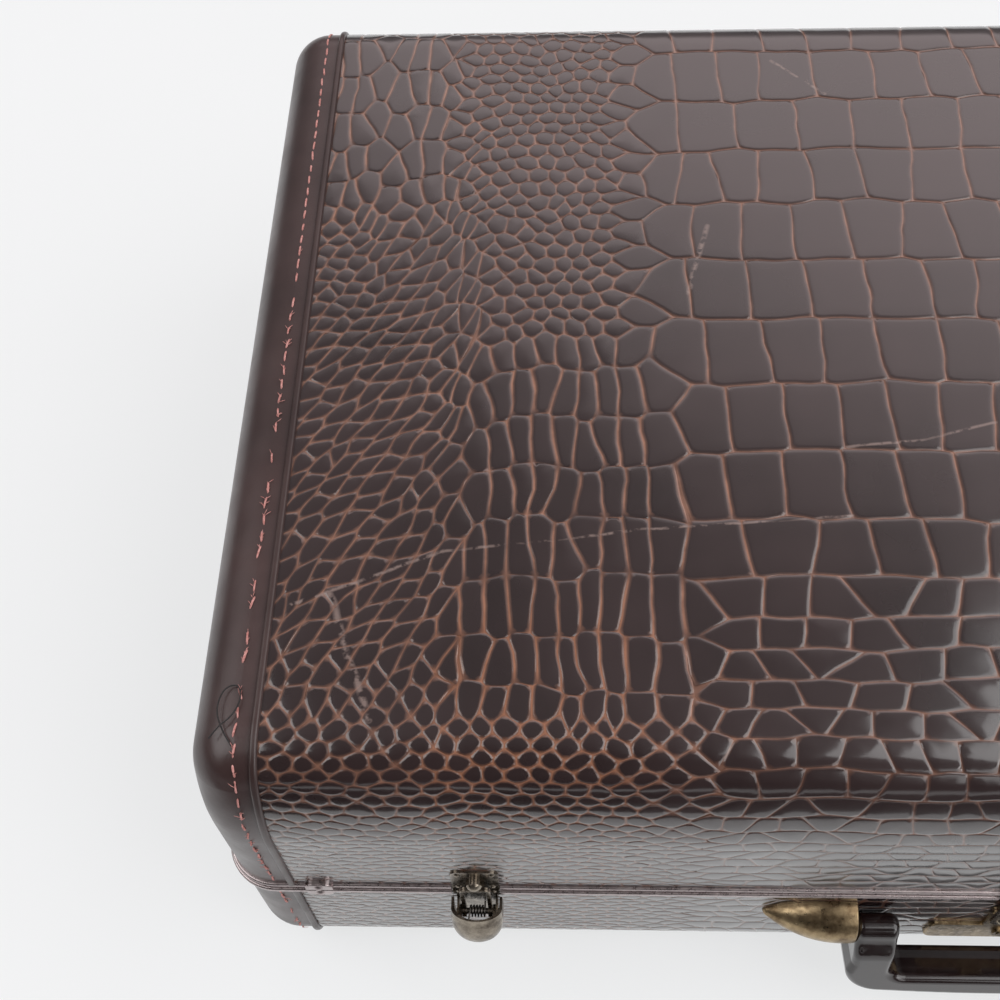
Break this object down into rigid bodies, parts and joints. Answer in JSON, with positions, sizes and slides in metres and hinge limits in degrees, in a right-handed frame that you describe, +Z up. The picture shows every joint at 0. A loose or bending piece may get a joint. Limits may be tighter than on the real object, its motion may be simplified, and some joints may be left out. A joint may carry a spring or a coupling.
{
  "type": "suitcase",
  "caption": "Hard-sided 1950s suitcase in crocodile-embossed leather with smooth leather ends, spring latches, hinged carrying handle, centre hasp lock and folding lid stays.",
  "frame": {"origin": "centre of the underside of the closed case", "axes": "+X along the case to its right, -Y towards the front with the handle, +Z up towards the lid"},
  "size_m": [0.6746, 0.474, 0.1997],
  "materials": {
    "croc_leather": "glossy embossed",
    "binding_leather": "smooth",
    "piping_leather": "smooth",
    "board": "matt",
    "lining_cloth": "satin weave",
    "brass": "worn polish",
    "nickel": "worn polish",
    "moulding_nickel": "worn polish",
    "steel": "dull",
    "handle_gloss": "glossy"
  },
  "bodies": {
    "base": {"base_board": "board", "base_cover": "croc_leather", "base_lining": "lining_cloth", "base_moulding": "moulding_nickel", "base_moulding_rivets": "moulding_nickel", "base_feet": "nickel", "lock_plate": "brass", "lock_case": "steel", "base_end_left": "binding_leather", "base_end_right": "binding_leather", "base_piping_left": "piping_leather", "base_piping_right": "piping_leather", "hinge_base_leaf_left": "nickel", "hinge_base_leaf_right": "nickel", "hinge_pin_left": "steel", "hinge_pin_right": "steel", "latch_plate_left": "nickel", "latch_plate_right": "nickel", "latch_pin_left": "steel", "latch_pin_right": "steel", "latch_spring_left": "steel", "latch_spring_right": "steel", "handle_cap_left": "brass", "handle_cap_right": "brass", "handle_pin_left": "steel", "handle_pin_right": "steel", "stay_base_bracket_left": "steel", "stay_base_bracket_right": "steel"},
    "lid": {"lid_board": "board", "lid_cover": "croc_leather", "lid_lining": "lining_cloth", "lid_moulding": "moulding_nickel", "lid_moulding_rivets": "moulding_nickel", "lid_feet": "nickel", "lid_pocket": "lining_cloth", "hasp_plate": "nickel", "hasp_pin": "steel", "lid_end_left": "binding_leather", "lid_end_right": "binding_leather", "lid_piping_left": "piping_leather", "lid_piping_right": "piping_leather", "hinge_lid_leaf_left": "nickel", "hinge_lid_leaf_right": "nickel", "latch_keeper_left": "nickel", "latch_keeper_right": "nickel", "stay_lid_bracket_left": "steel", "stay_lid_bracket_right": "steel"},
    "latch_left": {"latch_cup_left": "nickel", "latch_hook_left": "nickel"},
    "latch_right": {"latch_cup_right": "nickel", "latch_hook_right": "nickel"},
    "handle": {"handle": "handle_gloss"},
    "hasp": {"lock_hasp": "nickel"},
    "lock_plug": {"lock_plug": "brass"},
    "lock_bolt": {"lock_bolt": "steel"},
    "stay_lower_left": {"stay_lower_left": "steel"},
    "stay_lower_right": {"stay_lower_right": "steel"},
    "stay_upper_left": {"stay_upper_left": "steel"},
    "stay_upper_right": {"stay_upper_right": "steel"}
  },
  "joints": [
    {"name": "lid_hinge", "type": "hinge", "parent": "base", "child": "lid", "pos_m": [0, 0.2234, 0.093], "axis": [-1, 0, 0], "range_deg": [0, 100]},
    {"name": "latch_left_pivot", "type": "hinge", "parent": "base", "child": "latch_left", "pos_m": [-0.229, -0.225, 0.074], "axis": [1, 0, 0], "range_deg": [0, 26], "stiffness_Nm_per_rad": 0.15, "springref_deg": -14.32},
    {"name": "latch_right_pivot", "type": "hinge", "parent": "base", "child": "latch_right", "pos_m": [0.229, -0.225, 0.074], "axis": [1, 0, 0], "range_deg": [0, 26], "stiffness_Nm_per_rad": 0.15, "springref_deg": -14.32},
    {"name": "handle_swing", "type": "hinge", "parent": "base", "child": "handle", "pos_m": [0, -0.227, 0.064], "axis": [-1, 0, 0], "range_deg": [0, 148]},
    {"name": "hasp_hinge", "type": "hinge", "parent": "lid", "child": "hasp", "pos_m": [0, -0.2229, 0.0962], "axis": [-1, 0, 0], "range_deg": [0, 100]},
    {"name": "lock_plug_turn", "type": "hinge", "parent": "base", "child": "lock_plug", "pos_m": [0.0075, -0.2215, 0.0385], "axis": [0, 1, 0], "range_deg": [0, 90]},
    {"name": "lock_bolt_slide", "type": "slide", "parent": "base", "child": "lock_bolt", "axis": [0, 0, 1], "range_m": [0, 0.005]},
    {"name": "stay_base_pivot_left", "type": "hinge", "parent": "base", "child": "stay_lower_left", "pos_m": [-0.3246, 0.1534, 0.069], "axis": [-1, 0, 0], "range_deg": [0, 131.61]},
    {"name": "stay_knee_left", "type": "hinge", "parent": "stay_lower_left", "child": "stay_upper_left", "pos_m": [-0.3228, 0.07167, 0.0623], "axis": [-1, 0, 0], "range_deg": [-123.69, 0]},
    {"name": "stay_base_pivot_right", "type": "hinge", "parent": "base", "child": "stay_lower_right", "pos_m": [0.3246, 0.1534, 0.069], "axis": [-1, 0, 0], "range_deg": [0, 131.61]},
    {"name": "stay_knee_right", "type": "hinge", "parent": "stay_lower_right", "child": "stay_upper_right", "pos_m": [0.3228, 0.07167, 0.0623], "axis": [-1, 0, 0], "range_deg": [-123.69, 0]}
  ],
  "couplings": [
    {"joint": "lock_plug_turn", "follows": "lock_bolt_slide", "rad_per_m": 314.16},
    {"joint": "stay_base_pivot_left", "follows": "lid_hinge", "ratio": 1.3161},
    {"joint": "stay_knee_left", "follows": "lid_hinge", "ratio": -1.2368},
    {"joint": "stay_base_pivot_right", "follows": "lid_hinge", "ratio": 1.3161},
    {"joint": "stay_knee_right", "follows": "lid_hinge", "ratio": -1.2368}
  ]
}
